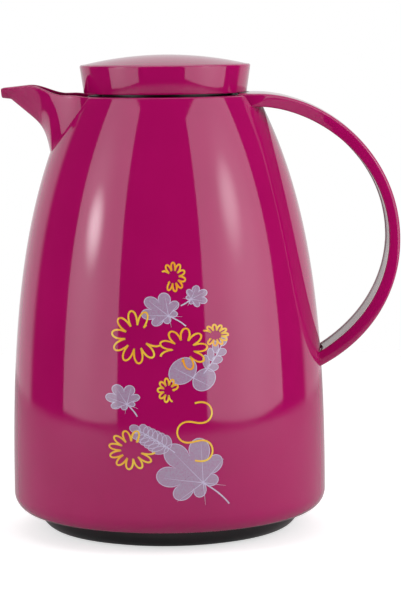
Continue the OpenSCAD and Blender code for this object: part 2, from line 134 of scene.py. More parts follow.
class Mesher:
    """Makes mesh objects from points given in millimetres."""

    @staticmethod
    def add(name: str, bm: bmesh.types.BMesh, crisp: float = CRISP) -> bpy.types.Object:
        """Turns a bmesh in millimetres into a smooth object in metres.

        Args:
            name: Name of the new object.
            bm: The mesh, which is freed.
            crisp: Edges that bend more than this many degrees stay sharp.

        Returns:
            The new object, linked to the scene.
        """
        bmesh.ops.scale(bm, vec=(MM, MM, MM), verts=bm.verts)
        bmesh.ops.recalc_face_normals(bm, faces=bm.faces)
        mesh = bpy.data.meshes.new(name)
        bm.to_mesh(mesh)
        bm.free()
        mesh.shade_smooth()
        mesh.set_sharp_from_angle(angle=math.radians(crisp))
        obj = bpy.data.objects.new(name, mesh)
        bpy.context.scene.collection.objects.link(obj)
        return obj

    @staticmethod
    def spin(bm: bmesh.types.BMesh, outline: Sequence[Point], segments: int = 256) -> None:
        """Adds a closed outline turned round the jug's axis to a bmesh.

        Args:
            bm: The mesh that grows.
            outline: Points (radius, height) in order. Points on the axis
                become poles.
            segments: Number of steps round the axis.
        """
        turns = [2 * math.pi * i / segments for i in range(segments)]
        loops = []
        for radius, height in outline:
            if radius < ON_AXIS:
                loops.append([bm.verts.new((0, 0, height))] * segments)
            else:
                places = [(radius * math.cos(a), radius * math.sin(a), height) for a in turns]
                loops.append([bm.verts.new(p) for p in places])
        for low, high in zip(loops, loops[1:] + loops[:1]):
            if low[0] is low[1] and high[0] is high[1]:
                continue
            for i in range(segments):
                k = (i + 1) % segments
                bm.faces.new(list(dict.fromkeys((low[i], low[k], high[k], high[i]))))

    @staticmethod
    def sweep(bm: bmesh.types.BMesh, rings: Sequence[Ring]) -> None:
        """Adds a closed solid through rings of points, with flat ends, to a bmesh.

        Args:
            bm: The mesh that grows.
            rings: Rings with the same number of points.
        """
        loops = [[bm.verts.new(p) for p in ring] for ring in rings]
        count = len(loops[0])
        for a, b in zip(loops, loops[1:]):
            for i in range(count):
                k = (i + 1) % count
                bm.faces.new((a[i], b[i], b[k], a[k]))
        bm.faces.new(loops[0])
        bm.faces.new(list(reversed(loops[-1])))

    @staticmethod
    def block(
        bm: bmesh.types.BMesh, low: Sequence[float], high: Sequence[float], turn: float = 0.0
    ) -> None:
        """Adds a box between two corners, turned about the jug's axis, to a bmesh.

        Args:
            bm: The mesh that grows.
            low: Lowest corner.
            high: Highest corner.
            turn: Turn about the axis in degrees.
        """
        size = [h - l for l, h in zip(low, high)]
        middle = [(h + l) / 2 for l, h in zip(low, high)]
        place = Matrix.Rotation(math.radians(turn), 4, "Z") @ Matrix.Translation(middle)
        bmesh.ops.create_cube(bm, size=1.0, matrix=place @ Matrix.Diagonal((*size, 1.0)))

    @classmethod
    def lathe(cls, name: str, *outlines: Sequence[Point]) -> bpy.types.Object:
        """Returns a new object turned from one or more closed outlines.

        Args:
            name: Name of the new object.
            outlines: Outlines of points (radius, height).

        Returns:
            The new object.
        """
        bm = bmesh.new()
        for outline in outlines:
            cls.spin(bm, outline)
        return cls.add(name, bm)

    @staticmethod
    def carve(obj: bpy.types.Object, tool: bpy.types.Object, operation: str = "DIFFERENCE") -> None:
        """Applies an exact boolean to an object and deletes the tool.

        Args:
            obj: Object that changes.
            tool: Object that is cut away, added or shared.
            operation: DIFFERENCE, UNION or INTERSECT.
        """
        step = obj.modifiers.new("carve", "BOOLEAN")
        step.operation = operation
        step.solver = "EXACT"
        step.object = tool
        graph = bpy.context.evaluated_depsgraph_get()
        mesh = bpy.data.meshes.new_from_object(obj.evaluated_get(graph))
        obj.modifiers.remove(step)
        old = obj.data
        obj.data = mesh
        bpy.data.meshes.remove(old)
        bpy.data.objects.remove(tool)

    @classmethod
    def sweep_into(cls, obj: bpy.types.Object, rings: Sequence[Ring], operation: str = "DIFFERENCE") -> None:
        """Carves a solid through rings of points out of an object, or adds it."""
        bm = bmesh.new()
        cls.sweep(bm, rings)
        cls.carve(obj, cls.add("tool", bm), operation)

    @staticmethod
    def tidy(obj: bpy.types.Object, crisp: float = CRISP) -> None:
        """Merges doubled points of a carved object and shades it smooth again.

        Args:
            obj: Object that changes.
            crisp: Edges that bend more than this many degrees stay sharp.
        """
        bm = bmesh.new()
        bm.from_mesh(obj.data)
        bmesh.ops.remove_doubles(bm, verts=bm.verts, dist=MERGE)
        bmesh.ops.dissolve_degenerate(bm, edges=bm.edges, dist=MERGE)
        loose = [v for v in bm.verts if not v.link_faces]
        bmesh.ops.delete(bm, geom=loose, context="VERTS")
        bm.to_mesh(obj.data)
        bm.free()
        obj.data.shade_smooth()
        obj.data.set_sharp_from_angle(angle=math.radians(crisp))


# ---------------------------------------------------------------- finishes


def wire(tree: bpy.types.NodeTree, kind: str, inputs: dict, **modes: str) -> bpy.types.Node:
    """Adds a node to a shader tree.

    Args:
        tree: The tree that grows.
        kind: Kind of node.
        inputs: A number, a tuple or a socket to link for each input.
        modes: Modes of the node, such as its operation.

    Returns:
        The new node.
    """
    node = tree.nodes.new(kind)
    for key, mode in modes.items():
        setattr(node, key, mode)
    for key, value in inputs.items():
        if isinstance(value, Socket):
            tree.links.new(value, node.inputs[key])
        else:
            node.inputs[key].default_value = value
    return node


class NodeDesk:
    """Adds and links the shader nodes of one new material."""

    def __init__(self, name: str) -> None:
        """Makes a material called name and keeps its main shader at hand."""
        self.material = bpy.data.materials.new(name)
        self.material.use_nodes = True
        self.tree = self.material.node_tree
        self.shader = self.tree.nodes["Principled BSDF"]
        self.place = wire(self.tree, "ShaderNodeTexCoord", {}).outputs["Object"]

    def set(self, **values: float | tuple[float, ...]) -> None:
        """Sets sockets of the main shader, written with _ for each space."""
        for key, value in values.items():
            self.shader.inputs[key.replace("_", " ")].default_value = value

    def noise(self, scale: float, detail: float = 3.0) -> Socket:
        """Returns a noise value whose cells are 1 / scale metres wide."""
        inputs = {"Scale": scale, "Detail": detail, "Vector": self.place}
        return wire(self.tree, "ShaderNodeTexNoise", inputs).outputs["Fac"]

    def spread(
        self, value: Socket, low: float, high: float, start: float = 0.3, end: float = 0.7
    ) -> Socket:
        """Maps a value between start and end to a number between low and high."""
        inputs = {"Value": value, "From Min": start, "From Max": end, "To Min": low, "To Max": high}
        return wire(self.tree, "ShaderNodeMapRange", inputs).outputs["Result"]

    def blend(self, value: Socket, first: Colour, second: Colour) -> Socket:
        """Returns a colour between first and second, by a value from 0 to 1."""
        inputs = {"A": (*first, 1.0), "B": (*second, 1.0), "Factor": value}
        return wire(self.tree, "ShaderNodeMix", inputs, data_type="RGBA").outputs["Result"]

    def bump(self, height: Socket, depth: float) -> Socket:
        """Returns a normal roughened by height, depth metres deep."""
        return wire(self.tree, "ShaderNodeBump", {"Distance": depth, "Height": height}).outputs["Normal"]

    def join(self, value: Socket, key: str) -> None:
        """Links a value to a socket of the main shader."""
        self.tree.links.new(value, self.shader.inputs[key])


@dataclass(frozen=True)
class Finish:
    """A surface whose colour, gloss and grain vary slightly from place to place.

    Attributes:
        name: Name of the material.
        colour: Main colour.
        shade: Colour that the main one drifts towards.
        drift: Cells of the colour drift per metre.
        gloss: Lowest and highest roughness.
        wear: Cells of the roughness drift per metre.
        grain: Cells of the surface grain per metre.
        depth: Depth of the grain in metres.
        coat: Weight of the clear coat.
    """

    name: str
    colour: Colour
    shade: Colour
    drift: float = 40.0
    gloss: Point = (0.08, 0.12)
    wear: float = 60.0
    grain: float = 900.0
    depth: float = 0.00001
    coat: float = 0.0

    def desk(self) -> NodeDesk:
        """Returns the node desk of a new material with colour, gloss and grain."""
        desk = NodeDesk(self.name)
        mix = desk.spread(desk.noise(self.drift), 0.0, 1.0)
        desk.join(desk.blend(mix, self.colour, self.shade), "Base Color")
        desk.join(desk.spread(desk.noise(self.wear, 5.0), *self.gloss), "Roughness")
        desk.join(desk.bump(desk.noise(self.grain, 2.0), self.depth), "Normal")
        desk.set(IOR=PLASTIC_IOR, Coat_Weight=self.coat, Coat_Roughness=0.03)
        return desk

    def material(self) -> bpy.types.Material:
        """Returns the material, made the first time it is asked for."""
        return bpy.data.materials.get(self.name) or self.desk().material


@dataclass(frozen=True)
class SoftFinish(Finish):
    """A rubber or silicone surface that lets a little light in.

    Attributes:
        milk: Weight of the light scattered under the surface.
    """

    milk: float = 0.0

    def desk(self) -> NodeDesk:
        """Returns the node desk with light scattered under the surface."""
        desk = super().desk()
        desk.set(Subsurface_Weight=self.milk, Subsurface_Scale=0.002)
        return desk


@dataclass(frozen=True)
class MetalFinish(Finish):
    """A metal surface with a fine grain."""

    def desk(self) -> NodeDesk:
        """Returns the node desk of a bare metal."""
        desk = super().desk()
        desk.set(Metallic=1.0)
        return desk


MAGENTA = Finish(
    "magenta_gloss", (0.375, 0.0019, 0.103), (0.35, 0.0016, 0.095),
    gloss=(0.045, 0.07), grain=500.0, depth=0.000001,
)
GREY_INLAY = Finish(
    "grey_satin", (0.34, 0.24, 0.25), (0.30, 0.21, 0.22), gloss=(0.2, 0.28), grain=1500.0, depth=0.000004
)
BLACK_GLOSS = Finish("black_gloss", (0.009, 0.009, 0.010), (0.013, 0.012, 0.013), gloss=(0.12, 0.2))
BLACK_SATIN = Finish(
    "black_satin", (0.014, 0.014, 0.015), (0.02, 0.019, 0.02), gloss=(0.3, 0.42), grain=2400.0, depth=0.00003
)
PALE_SATIN = Finish("pale_satin", (0.74, 0.73, 0.69), (0.68, 0.67, 0.62), gloss=(0.35, 0.5), depth=0.00003)
BLACK_RUBBER = SoftFinish(
    "black_rubber", (0.016, 0.016, 0.016), (0.028, 0.027, 0.026),
    gloss=(0.65, 0.85), grain=1800.0, depth=0.00008,
)
CLEAR_SILICONE = SoftFinish(
    "clear_silicone", (0.72, 0.72, 0.69), (0.66, 0.66, 0.62), gloss=(0.4, 0.55), depth=0.00002, milk=0.4
)
WHITE_FOAM = SoftFinish(
    "white_foam", (0.86, 0.84, 0.78), (0.78, 0.75, 0.68),
    gloss=(0.85, 0.95), grain=700.0, depth=0.0003, milk=0.1,
)
SILVERED_GLASS = MetalFinish(
    "silvered_glass", (0.82, 0.84, 0.87), (0.74, 0.76, 0.8), gloss=(0.03, 0.07), depth=0.000006, coat=1.0
)
ZINC_STEEL = MetalFinish(
    "zinc_steel", (0.62, 0.62, 0.64), (0.5, 0.5, 0.53), gloss=(0.22, 0.4), grain=3000.0, depth=0.00002
)
LEAF_INK = Finish(
    "leaf_ink", (0.36, 0.30, 0.41), (0.38, 0.20, 0.33), drift=1500.0, gloss=(0.06, 0.1), depth=0.000003
)
VEIN_INK = Finish(
    "vein_ink", (0.60, 0.55, 0.70), (0.50, 0.42, 0.60), drift=900.0, gloss=(0.06, 0.1), depth=0.000003
)
GOLD_INK = Finish(
    "gold_ink", (0.84, 0.34, 0.025), (0.86, 0.60, 0.07), drift=90.0, gloss=(0.06, 0.1), depth=0.000003
)


def dress(obj: bpy.types.Object, finish: Finish) -> None:
    """Gives an object one finish and nothing else.

    Args:
        obj: Object that is dressed.
        finish: The finish.
    """
    obj.data.materials.clear()
    obj.data.materials.append(finish.material())


def fit(obj: bpy.types.Object, body: Body, slot: Slot, finish: Finish, *nodes: str) -> None:
    """Dresses a new piece, lets it ride on its body and stands it in for nodes.

    Args:
        obj: The new piece.
        body: Body that the piece rides on.
        slot: Slot of the record for the piece; not used.
        finish: The finish.
        nodes: Nodes of the frame that the piece stands for.
    """
    dress(obj, finish)
    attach(obj, body.value)
    if nodes:
        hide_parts(*nodes)
    LOG.info("%s: %d faces, rides on %s", obj.name, len(obj.data.polygons), body.value)


# ---------------------------------------------------------------- shell


@dataclass
class Shell:
    """The glossy outer shell with its pouring spout.

    Attributes:
        radius: Radius of the straight lower part.
        rim_r: Radius at the rim.
        rim_z: Height of the rim.
        rim_t: Thickness of the top ring.
        rim_round: Rounding of the rim's outer edge.
        wall: Wall thickness.
        base_z: Height of the lower edge.
        belly_z: Height up to which the shell stays straight.
        bottom_r: Rounding radius at the bottom.
        share: Share of the shoulder's curve that is a gentle square law.
        flange_r: Radius of the opening for the base cup.
        socket_r: Radius of the bore for the neck collar.
        recess_r: Radius of the recess for the collar's flange.
        recess_z: Height of the recess's floor.
        root_x: Distance from the axis where the spout's solid starts.
        reach: Distance from the axis to the spout's tip.
        rise: Rise of the spout's edge above the rim.
        root_lift: Rise of the edge where the spout leaves the shell.
        tip_half: Half width of the tip.
        root_half: Half width of the spout at its root.
        lip_t: Height of the lip.
        spout_wall: Wall thickness of the spout.
        window_z: Height of the collar's pouring window.
        edge_r: Rounding of the spout's edge.
        edge_start: Distance past the rim where the spout's edge begins to climb.
        edge_run: Length of that climb.
        edge_fall: Slope by which the edge falls again towards the tip.
        lip_run: Length of the level lip behind the tip.
        lip_fall: Drop of the lip below the highest edge.
        lip_lift: Slope of the lip's underside.
        under_slope: Slope of the underside behind the lip.
        throat_run: Length of the stretch behind the lip that curves down.
        throat_drop: Drop of that curve.
        throat_power: How late the curve turns down.
        deep: Depth of the spout's foot below the rim.
        channel_slope: Slope of the channel's floor.
        powers: How upright the sides are at the root and at the tip.
        lean_run: Length over which the sides change from one to the other.
    """

    radius: float = 72.5
    rim_r: float = 42.0
    rim_z: float = 200.6
    rim_t: float = 3.6
    rim_round: float = 1.4
    wall: float = 2.5
    base_z: float = 8.7
    belly_z: float = 25.0
    bottom_r: float = 8.8
    share: float = 0.5
    flange_r: float = 60.6
    socket_r: float = 33.3
    recess_r: float = 36.0
    recess_z: float = 199.0
    root_x: float = 34.0
    reach: float = 75.3
    rise: float = 5.0
    root_lift: float = 0.8
    tip_half: float = 4.8
    root_half: float = 24.3
    lip_t: float = 4.8
    spout_wall: float = 2.0
    window_z: float = 187.5
    edge_r: float = 0.75
    edge_start: float = 4.0
    edge_run: float = 16.0
    edge_fall: float = 4.0
    lip_run: float = 4.3
    lip_fall: float = 1.4
    lip_lift: float = 0.12
    under_slope: float = 0.84
    throat_run: float = 17.7
    throat_drop: float = 10.0
    throat_power: int = 9
    deep: float = 35.5
    channel_slope: float = 0.24
    powers: Point = (0.8, 1.5)
    lean_run: float = 14.0

    def out(self, z: float) -> float:
        """Returns the radius of the outer face at height z."""
        u = max(0.0, (z - self.belly_z) / (self.rim_z - self.belly_z))
        return self.radius - (self.radius - self.rim_r) * (self.share * u**2 + (1 - self.share) * u**4)

    def slope(self, z: float) -> float:
        """Returns how much the outer radius shrinks per millimetre of height."""
        height = self.rim_z - self.belly_z
        u = max(0.0, (z - self.belly_z) / height)
        return (self.radius - self.rim_r) * (2 * self.share * u + 4 * (1 - self.share) * u**3) / height

    def facing(self, turn: float, z: float) -> Vector:
        """Returns the outward direction of the outer face.

        Args:
            turn: Angle round the axis in radians, from +X.
            z: Height in millimetres.

        Returns:
            The unit normal.
        """
        return Vector((math.cos(turn), math.sin(turn), self.slope(z))).normalized()

    def outline(self, inset: float = 0.0) -> list[Point]:
        """Returns the closed outline of the solid that fills the shell, drawn in by inset."""
        round_z = self.base_z + self.bottom_r
        points = [(0.0, self.base_z)]
        points += arc(self.radius - self.bottom_r, round_z, self.bottom_r - inset, -90, 0, 20)
        lean = math.degrees(math.atan(self.slope(self.rim_z)))
        sine = math.sin(math.radians(lean))
        centre_r = self.rim_r - inset - self.rim_round * (1 - sine) / math.cos(math.radians(lean))
        rim = arc(centre_r, self.rim_z - self.rim_round, self.rim_round, lean, 90, 8)
        points += [(self.out(z) - inset, z) for z in span(self.belly_z, rim[0][1], 90)[:-1]]
        return points + rim + [(0.0, self.rim_z)]

    def cavity(self) -> list[Point]:
        """Returns the closed outline of the room inside the wall."""
        round_z = self.base_z + self.bottom_r
        top_z = self.rim_z - self.rim_t
        points = [(0.0, self.base_z + self.wall)]
        points += arc(self.radius - self.bottom_r, round_z, self.bottom_r - self.wall, -90, 0, 16)
        points += [(self.out(z) - self.wall, z) for z in span(self.belly_z, top_z, 70)]
        return points + [(0.0, top_z)]

    # Spout, where x is the distance from the axis towards the tip

    def edge_z(self, x: float) -> float:
        """Returns the height of the spout's edge at distance x."""
        ahead = x - self.rim_r - self.edge_start
        fall = self.edge_fall * max(0.0, ahead - self.edge_run - 1) / (self.reach - self.root_x)
        climb = (self.rise - self.root_lift) * smooth_step(ahead / self.edge_run)
        return self.rim_z + self.root_lift * smooth_step((x - self.root_x) / 8) + climb - fall

    def under_z(self, x: float) -> float:
        """Returns the height of the spout's underside at distance x."""
        lip_x = self.reach - self.lip_run
        back = max(0.0, lip_x - x)
        lip_z = self.rim_z + self.rise - self.lip_fall - self.lip_t + self.lip_lift * max(0.0, x - lip_x)
        curve = self.throat_drop * (back / self.throat_run) ** self.throat_power
        return max(self.rim_z - self.deep, lip_z - self.under_slope * back - curve)

    def half(self, x: float) -> float:
        """Returns the half width of the spout at distance x."""
        s = smooth_step(min(1.0, (self.reach - x) / (self.reach - self.root_x)))
        return self.tip_half + (self.root_half - self.tip_half) * s**1.15

    def floor_z(self, x: float) -> float:
        """Returns the height of the channel's floor at distance x."""
        channel_z = self.window_z + self.channel_slope * (x - self.socket_r)
        return max(self.under_z(x) + self.spout_wall + 0.2, channel_z)

    def power(self, x: float) -> float:
        """Returns how upright the sides of the spout's section are at distance x."""
        root, tip = self.powers
        return root + (tip - root) * smooth_step((x - self.rim_r - self.edge_start) / self.lean_run)

    def trough(self, x: float, shrink: float = 0.0, drop: float = 0.0) -> Ring:
        """Returns the closed section of the spout's wall at distance x.

        Args:
            x: Distance from the axis.
            shrink: How far every face of the wall is drawn in.
            drop: How far the edge is lowered.

        Returns:
            The ring of points, outer face first.
        """
        edge, power = self.edge_r, self.power(x)
        top = self.edge_z(x) - shrink - drop
        half = self.half(x) - shrink
        inner = self.half(x) - self.spout_wall + shrink
        faces = ((half, self.under_z(x) + shrink, 1), (inner, self.floor_z(x) - shrink, -1))
        ring: Ring = []
        for wide, low, side in faces:
            start = math.asin(min(0.99, (edge / (top - low)) ** (1 / power)))
            sweep = [start + (math.pi - 2 * start) * i / 72 for i in range(73)]
            for a in sweep:
                y = side * math.copysign(wide * abs(math.cos(a)) ** power, math.cos(a))
                ring.append(Vector((-x, y, top - (top - low) * math.sin(a) ** power)))
            left, right = (-half, -inner) if side > 0 else (inner, half)
            corner = arc(left + edge, top - edge, edge, 180, 90, 6)[1:]
            corner += arc(right - edge, top - edge, edge, 90, 0, 6)[:-1]
            ring += [Vector((-x, y, z)) for y, z in corner]
        return ring

    def core(self, x: float, grow: float) -> Ring:
        """Returns the section of the cutter that opens the shell for the channel."""
        top = self.rim_z + 12
        half = self.half(x) - self.spout_wall + grow
        edge = self.edge_z(x)
        low = self.floor_z(x) - grow
        ring = [Vector((-x, half, top))]
        for i in range(49):
            a = math.pi * i / 48
            y = math.copysign(half * abs(math.cos(a)) ** self.power(x), math.cos(a))
            ring.append(Vector((-x, y, edge - (edge - low) * abs(math.sin(a)) ** self.power(x))))
        return ring + [Vector((-x, -half, top))]

    def build(self) -> None:
        """Builds the shell and the spout as one moulding and fits it."""
        shell = Mesher.lathe("shell_moulding", self.outline())
        Mesher.carve(shell, Mesher.lathe("cavity", self.cavity()))
        Mesher.sweep_into(shell, [self.core(x, 0.5) for x in span(self.root_x - 8, self.reach - 8, 40)])
        blunt = [(0.35, 0.06), (0.6, 0.2), (0.75, 0.4), (0.8, 0.6)]
        tip_x = self.reach - 0.8
        rings = [self.trough(x, drop=0.04 * (x < self.rim_r)) for x in span(self.root_x - 2, tip_x, 76)]
        rings += [self.trough(tip_x + ahead, shrink) for ahead, shrink in blunt]
        Mesher.sweep_into(shell, rings, "UNION")
        deep_z, above_z, foot_z = 150.0, 230.0, 12.0
        neck = [(0.0, deep_z), (self.socket_r, deep_z), (self.socket_r, self.recess_z)]
        neck += [(self.recess_r, self.recess_z), (self.recess_r, above_z), (0.0, above_z)]
        foot = [(0.0, 0.0), (self.flange_r, 0.0), (self.flange_r, foot_z), (0.0, foot_z)]
        Mesher.carve(shell, Mesher.lathe("neck_and_foot", foot, neck))
        Mesher.tidy(shell)
        self.face_out(shell)
        fit(shell, Body.JUG, Slot.SHELL, MAGENTA, "outer_shell")

    def face_out(self, obj: bpy.types.Object) -> None:
        """Sets the true normal wherever a face of obj lies on the shell's outer face."""
        mesh = obj.data
        normals = [Vector(n.vector) for n in mesh.corner_normals]
        for face in mesh.polygons:
            for loop in face.loop_indices:
                co = mesh.vertices[mesh.loops[loop].vertex_index].co / MM
                turn = math.atan2(co.y, co.x)
                radius = math.hypot(co.x, co.y)
                on_face = self.belly_z - 7 < co.z < self.rim_z - 0.5 and abs(radius - self.out(co.z)) < 0.02
                if on_face and face.normal.dot(self.facing(turn, co.z)) > 0.97:
                    normals[loop] = self.facing(turn, co.z)
        mesh.normals_split_custom_set(normals)


# ---------------------------------------------------------------- handle


@dataclass
class Handle:
    """The strap handle and the grey inlay on its inner face.

    Attributes:
        shell: The shell that the handle grows from.
        far_x: Distance from the axis to the handle's widest point.
        grip_z: Height of the widest point.
        root_z: Height of the lower root.
        root_x: Distance from the axis to the lower root.
        lift: Rise of the top above the rim.
        lid_r: Radius of the clearance round the lid.
        grip_w: Width at the grip.
        top_w: Width at the rim.
        low_w: Width at the lower root.
        grip_t: Thickness at the grip.
        inlay_t: Depth of the groove for the inlay.
        inlay_half: Half width of the inlay.
        edge_r: Rounding of the outer edges.
        hem_r: Rounding of the inner edges.
        crown: How far the outer face falls towards its edges.
        flare_run: Length over which the handle widens towards the rim.
        flare_power: How late that widening sets in.
        taper_run: Height over which it narrows towards the lower root.
        outer_pull: Shares that place the control points of the outer face.
        inner_pull: The same for the inner face.
    """

    shell: Shell
    far_x: float = 107.4
    grip_z: float = 134.0
    root_z: float = 75.5
    root_x: float = 70.945
    lift: float = 1.0
    lid_r: float = 38.5
    grip_w: float = 28.0
    top_w: float = 43.0
    low_w: float = 26.0
    grip_t: float = 5.5
    inlay_t: float = 2.0
    inlay_half: float = 10.5
    edge_r: float = 1.5
    hem_r: float = 0.8
    crown: float = 0.4
    flare_run: float = 34.0
    flare_power: float = 1.15
    taper_run: float = 30.0
    outer_pull: tuple[float, ...] = (0.498, 0.581, 0.386, 0.672, 0.224)
    inner_pull: tuple[float, ...] = (0.316, 0.61, 0.158, 0.767, 0.428)

    def half(self, x: float, z: float) -> float:
        """Returns the half width of the handle at distance x and height z."""
        share = min(1.0, max(0.0, 1 - (x - self.shell.rim_r) / self.flare_run))
        flare = (self.top_w - self.grip_w) / 2 * share**self.flare_power
        below = (self.root_z + self.taper_run - z) / self.taper_run
        taper = (self.grip_w - self.low_w) / 2 * smooth_step(below)
        return self.grip_w / 2 + flare * (z > self.grip_z) - taper

    def line(self, outer: bool, steps: int = 60) -> list[Vector]:
        """Returns the side outline of the outer or the inner face.

        Args:
            outer: True for the outer face, False for the inner one.
            steps: Steps in the upper and again in the lower part.

        Returns:
            Points from inside the rim round to inside the lower root.
        """
        rim_r, rim_z, far, grip = self.shell.rim_r, self.shell.rim_z, self.far_x, self.grip_z
        wide, low_wide = far - rim_r, far - self.root_x
        drop, low_drop = rim_z - grip, grip - self.root_z
        pull = self.outer_pull if outer else self.inner_pull
        if outer:
            start, turn = (rim_r - 1, rim_z + self.lift), (far, grip)
            end = (self.root_x, self.root_z)
            leave = (start[0] + pull[0] * (wide + 1), start[1])
            first, last = Vector((rim_r - 8, start[1])), Vector((end[0] - 12, end[1] - 7))
        else:
            start, turn = (rim_r - 4, rim_z - 5.4), (far - self.grip_t, grip)
            end = (self.root_x - 0.5, self.root_z + 7.1)
            leave = (rim_r + pull[0] * wide, rim_z - 3.2)
            first, last = Vector((start[0] - 12, start[1])), Vector((self.root_x - 12, self.root_z + 1))
        upper = (leave, (turn[0], grip + pull[1] * drop))
        arrive = (self.root_x + pull[3] * low_wide, self.root_z + pull[4] * low_drop)
        lower = ((turn[0], grip - pull[2] * low_drop), arrive)
        points = [first] + [bezier((start, turn), upper, t) for t in span(0, 1, steps)]
        points += [bezier((turn, end), lower, t) for t in span(0, 1, steps)[1:]]
        return points + [last]

    def strap_ring(self, out: Vector, inn: Vector) -> Ring:
        """Returns the grooved section between a point of the outer and of the inner line."""
        across = out - inn
        thick = across.length
        way = across / thick
        half = (self.half(*out) + self.half(*inn)) / 2
        edge = min(self.edge_r, thick * 0.45)
        groove = self.inlay_half + 0.1
        side = [(0.3, groove), (0.0, groove + 0.3)]
        side += [(self.hem_r - y, half - self.hem_r + x) for x, y in arc(0, 0, self.hem_r, 90, 0, 5)]
        side += [(thick - edge + y, half - edge + x) for x, y in arc(0, 0, edge, 0, 90, 9)]
        flat = half - edge
        side = [(s - self.crown * (max(0.0, y) / half) ** 2 * (s / thick), y) for s, y in side]
        face = [(thick - self.crown * (y / half) ** 2, y) for y in span(flat, -flat, 16)[1:-1]]
        back = [(s, -y) for s, y in reversed(side)]
        floor = [(self.inlay_t, -groove), (self.inlay_t, 0.0), (self.inlay_t, groove)]
        points = side + face + back + floor
        return [Vector(((inn + way * s).x, y, (inn + way * s).y)) for s, y in points]

    def inlay_ring(self, out: Vector, inn: Vector) -> Ring:
        """Returns the section of the inlay between a point of the outer and of the inner line."""
        way = (out - inn).normalized()
        half, bead, rib = self.inlay_half, 0.45, 1.1
        side = [(self.inlay_t, half)]
        side += [(bead - y + 0.02, half - bead + x) for x, y in arc(0, 0, bead, 0, 90, 5)]
        side += [(0.02, half - rib), (0.35, half - rib - 0.35), (0.38, half - rib - 0.8)]
        points = side + [(s, -y) for s, y in reversed(side)]
        return [Vector(((inn + way * s).x, y, (inn + way * s).y)) for s, y in points]

    def loft(self, name: str, section: Callable[[Vector, Vector], Ring]) -> bpy.types.Object:
        """Returns a new object swept along the handle with the given section."""
        bm = bmesh.new()
        Mesher.sweep(bm, [section(o, i) for o, i in zip(self.line(True), self.line(False))])
        return Mesher.add(name, bm, crisp=40.0)

    def build(self) -> None:
        """Builds the strap and its inlay, trims them to the shell and fits them."""
        strap = self.loft("handle_strap", self.strap_ring)
        low_z, high_z = self.shell.rim_z - 1, self.shell.rim_z + 3.4
        lid_room = [(0.0, low_z), (self.lid_r, low_z), (self.lid_r, high_z), (0.0, high_z)]
        Mesher.carve(strap, Mesher.lathe("shell_tool", self.shell.outline()))
        Mesher.carve(strap, Mesher.lathe("lid_room", lid_room))
        Mesher.tidy(strap, 40.0)
        fit(strap, Body.JUG, Slot.SHELL, MAGENTA, "handle")
        inlay = self.loft("handle_inlay_strip", self.inlay_ring)
        Mesher.carve(inlay, Mesher.lathe("shell_tool", self.shell.outline(-1.2)))
        Mesher.tidy(inlay, 50.0)
        fit(inlay, Body.JUG, Slot.INLAY, GREY_INLAY, "handle_inlay")


# ---------------------------------------------------------------- base


@dataclass
class Base:
    """The black base cup and its rubber foot ring.

    Attributes:
        cup_r: Outer radius of the cup.
        show_z: Height at which the cup meets the shell.
        wall: Wall thickness.
        rise: Height of the cup's lowest face.
        foot_r: Outer radius of the foot ring.
        foot_w: Width of the foot ring.
        groove_z: Height of the groove that holds the foot ring.
        lug_r: Inner and outer radius of the bayonet lugs.
        lug_z: Lower and upper face of the lugs.
    """

    cup_r: float = 60.3
    show_z: float = 8.7
    wall: float = 2.5
    rise: float = 0.6
    foot_r: float = 51.4
    foot_w: float = 4.0
    groove_z: float = 2.2
    lug_r: Point = (59.0, 62.5)
    lug_z: Point = (11.4, 13.4)

    def build(self) -> None:
        """Builds the cup and the foot ring and fits them."""
        side_r = self.show_z - self.rise
        foot_in = self.foot_r - self.foot_w
        rim_z = self.show_z + 5.2
        inner_r, floor_z = self.cup_r - self.wall, self.wall + 3.4
        cup = [(0.0, self.groove_z), (foot_in - 3, self.groove_z), (foot_in - 2, self.rise)]
        cup += [(foot_in - 0.1, self.rise), (foot_in - 0.1, self.groove_z)]
        cup += [(self.foot_r + 0.1, self.groove_z), (self.foot_r + 0.1, self.rise)]
        cup += arc(self.cup_r - side_r, self.show_z, side_r, -90, 0, 24)
        cup += [(self.cup_r, rim_z), (inner_r, rim_z), (inner_r, floor_z + 3), (inner_r - 4, floor_z)]
        cup += [(0.0, floor_z)]
        bm = bmesh.new()
        Mesher.spin(bm, cup)
        (near, far), (low, high) = self.lug_r, self.lug_z
        corners = ((near, low), (far, low), (far, high), (near, high))
        for quarter in range(4):
            turns = [math.radians(turn + 90 * quarter) for turn in span(-8, 8, 12)]
            rings = [[Vector((r * math.cos(a), r * math.sin(a), z)) for r, z in corners] for a in turns]
            Mesher.sweep(bm, rings)
        fit(Mesher.add("base_cup_moulding", bm), Body.JUG, Slot.BLACK, BLACK_GLOSS, "base_cup")
        ring = [(foot_in, self.groove_z)]
        soft = 0.8
        ring += arc(foot_in + soft, soft, soft, 180, 270, 8) + arc(self.foot_r - soft, soft, soft, -90, 0, 8)
        ring += [(self.foot_r, self.groove_z)]
        fit(Mesher.lathe("foot_ring_rubber", ring), Body.JUG, Slot.RUBBER, BLACK_RUBBER, "foot_ring")


# ---------------------------------------------------------------- lid


